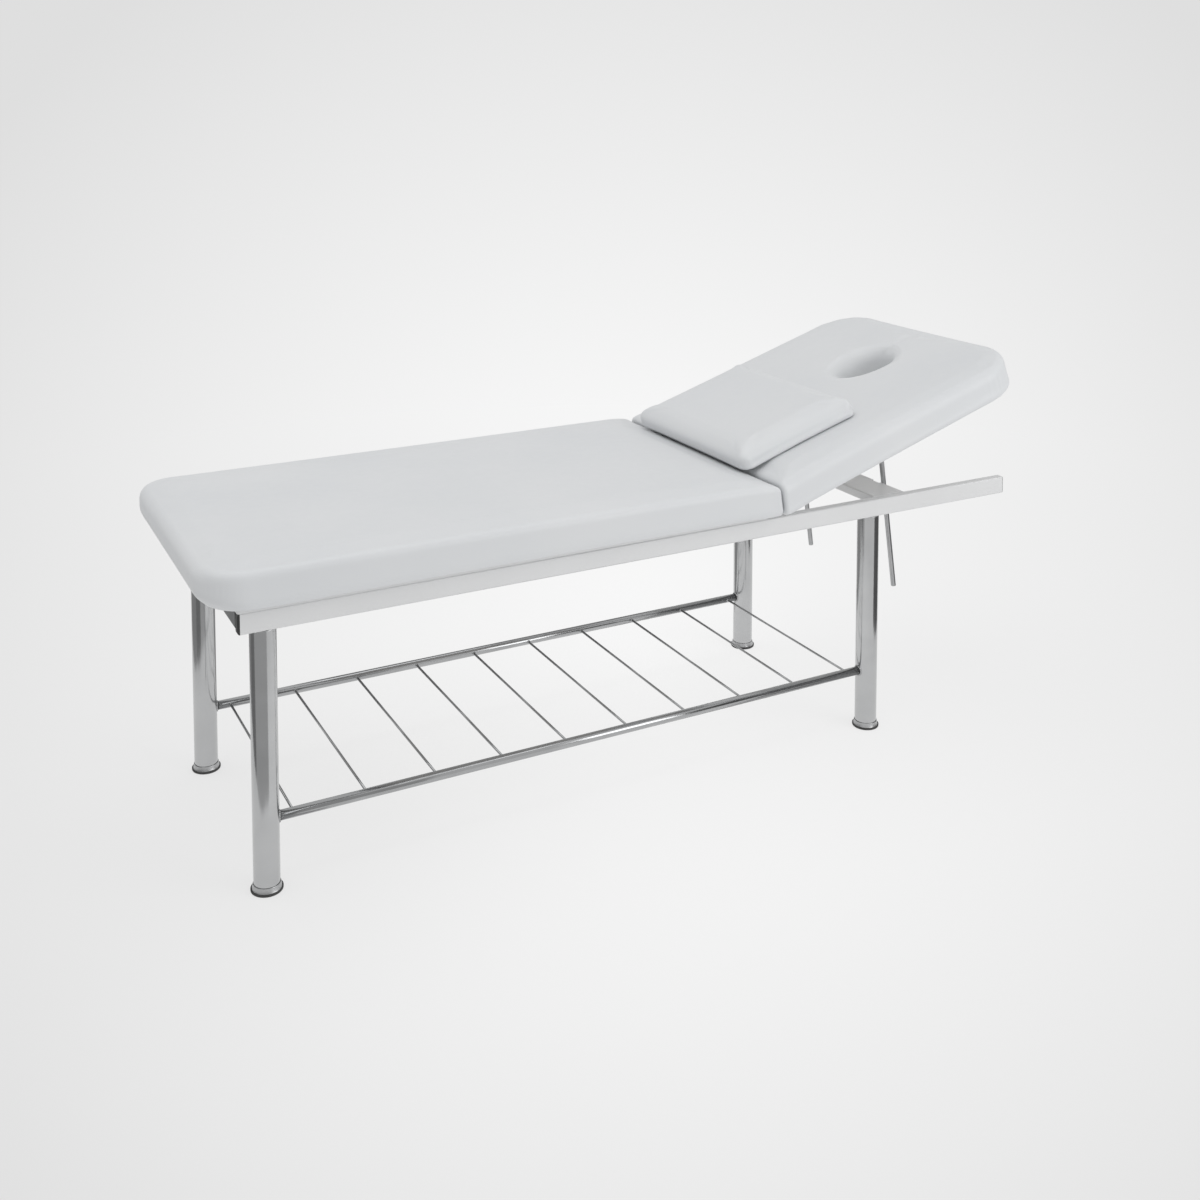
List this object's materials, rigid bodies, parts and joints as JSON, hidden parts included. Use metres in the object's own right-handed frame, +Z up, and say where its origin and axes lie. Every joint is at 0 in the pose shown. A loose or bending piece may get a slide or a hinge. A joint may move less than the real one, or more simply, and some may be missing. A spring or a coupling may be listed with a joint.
{
  "type": "treatment bed",
  "caption": "Fixed massage and treatment bed: steel rail frame on chrome tube legs, wire shelf, padded seat, tilting padded backrest with a face hole, loose pillow.",
  "frame": {"origin": "middle of the bed's outline from above, on the floor under the levelling feet", "axes": "+X along the bed to the head end, +Y to the far side, +Z up"},
  "size_m": [1.956, 0.686, 0.8522],
  "materials": {
    "white_paint": "gloss white powder coat",
    "leg_chrome": "bright chrome plating",
    "shelf_wire": "dull chrome plated wire",
    "zinc_steel": "zinc plated",
    "black_plastic": "fine textured",
    "white_plastic": "smooth white",
    "grey_plastic": "smooth grey",
    "black_paint": "black enamel",
    "foot_rubber": "matt",
    "board_wood": "raw plywood",
    "white_vinyl": "smooth white vinyl coated cloth over foam"
  },
  "bodies": {
    "frame": {"foot_cross_tube": "black_paint", "rail_caps_head": "white_plastic", "leg_sockets": "grey_plastic", "side_rail_near": "white_paint", "side_rail_far": "white_paint", "middle_cross_tube": "white_paint", "head_cross_channel": "white_paint", "board_tabs": "white_paint", "leg_plates": "white_paint", "leg_foot_near": "leg_chrome", "leg_foot_far": "leg_chrome", "leg_head_near": "leg_chrome", "leg_head_far": "leg_chrome", "shelf_tube_near": "shelf_wire", "shelf_tube_far": "shelf_wire", "shelf_cross_rods": "shelf_wire", "leg_top_plugs": "zinc_steel", "leg_bolts": "zinc_steel", "seat_board_screws": "zinc_steel", "hinge_fixed_leaves": "zinc_steel", "hinge_pins": "zinc_steel", "hinge_fixed_screws": "zinc_steel", "clamp_bracket_near": "zinc_steel", "clamp_bracket_far": "zinc_steel", "clamp_bracket_bolts": "zinc_steel", "rail_caps_foot": "black_plastic", "seat_board": "board_wood", "seat_cushion": "white_vinyl"},
    "backrest": {"backrest_board": "board_wood", "backrest_cushion": "white_vinyl", "hinge_moving_leaves": "zinc_steel", "hinge_moving_screws": "zinc_steel", "slotted_bracket_near": "zinc_steel", "slotted_bracket_far": "zinc_steel", "bracket_screws": "zinc_steel"},
    "pillow": {"pillow": "white_vinyl"},
    "clamp_near": {"clamp_block_near": "zinc_steel", "pivot_screws_near": "zinc_steel"},
    "rod_near": {"prop_rod_near": "zinc_steel", "cross_pin_near": "zinc_steel"},
    "knob_near": {"clamp_knob_near": "black_plastic"},
    "levelling_foot_foot_near": {"foot_cap_foot_near": "leg_chrome", "foot_pad_foot_near": "foot_rubber"},
    "levelling_foot_head_near": {"foot_cap_head_near": "leg_chrome", "foot_pad_head_near": "foot_rubber"},
    "clamp_far": {"clamp_block_far": "zinc_steel", "pivot_screws_far": "zinc_steel"},
    "rod_far": {"prop_rod_far": "zinc_steel", "cross_pin_far": "zinc_steel"},
    "knob_far": {"clamp_knob_far": "black_plastic"},
    "levelling_foot_foot_far": {"foot_cap_foot_far": "leg_chrome", "foot_pad_foot_far": "foot_rubber"},
    "levelling_foot_head_far": {"foot_cap_head_far": "leg_chrome", "foot_pad_head_far": "foot_rubber"}
  },
  "joints": [
    {"name": "backrest_tilt", "type": "hinge", "parent": "frame", "child": "backrest", "pos_m": [0.26652, 0, 0.582], "axis": [0, -1, 0], "range_deg": [-17.4, 22.6]},
    {"name": "pillow_lift", "type": "slide", "parent": "backrest", "child": "pillow", "axis": [-0.299, 0, 0.9542], "range_m": [0, 0.2]},
    {"name": "clamp_swivel_near", "type": "hinge", "parent": "frame", "child": "clamp_near", "pos_m": [0.68502, -0.1667, 0.49], "axis": [0, -1, 0], "range_deg": [-4.25, 5.5]},
    {"name": "rod_slide_near", "type": "slide", "parent": "clamp_near", "child": "rod_near", "axis": [-0.134, 0, 0.991], "range_m": [-0.1235, 0.16]},
    {"name": "knob_turn_near", "type": "hinge", "parent": "clamp_near", "child": "knob_near", "pos_m": [0.68502, -0.1667, 0.49], "axis": [0.991, 0, 0.134], "range_deg": [-180, 0]},
    {"name": "foot_level_foot_near", "type": "slide", "parent": "frame", "child": "levelling_foot_foot_near", "axis": [0, 0, -1], "range_m": [0, 0.015]},
    {"name": "foot_level_head_near", "type": "slide", "parent": "frame", "child": "levelling_foot_head_near", "axis": [0, 0, -1], "range_m": [0, 0.015]},
    {"name": "clamp_swivel_far", "type": "hinge", "parent": "frame", "child": "clamp_far", "pos_m": [0.68502, 0.1667, 0.49], "axis": [0, -1, 0], "range_deg": [-4.25, 5.5]},
    {"name": "rod_slide_far", "type": "slide", "parent": "clamp_far", "child": "rod_far", "axis": [-0.134, 0, 0.991], "range_m": [-0.1235, 0.16]},
    {"name": "knob_turn_far", "type": "hinge", "parent": "clamp_far", "child": "knob_far", "pos_m": [0.68502, 0.1667, 0.49], "axis": [0.991, 0, 0.134], "range_deg": [-180, 0]},
    {"name": "foot_level_foot_far", "type": "slide", "parent": "frame", "child": "levelling_foot_foot_far", "axis": [0, 0, -1], "range_m": [0, 0.015]},
    {"name": "foot_level_head_far", "type": "slide", "parent": "frame", "child": "levelling_foot_head_far", "axis": [0, 0, -1], "range_m": [0, 0.015]}
  ],
  "couplings": [
    {"joint": "clamp_swivel_near", "follows": "backrest_tilt", "ratio": 0.2406},
    {"joint": "rod_slide_near", "follows": "backrest_tilt", "m_per_rad": 0.40337},
    {"joint": "clamp_swivel_far", "follows": "backrest_tilt", "ratio": 0.2406},
    {"joint": "rod_slide_far", "follows": "backrest_tilt", "m_per_rad": 0.40337}
  ]
}
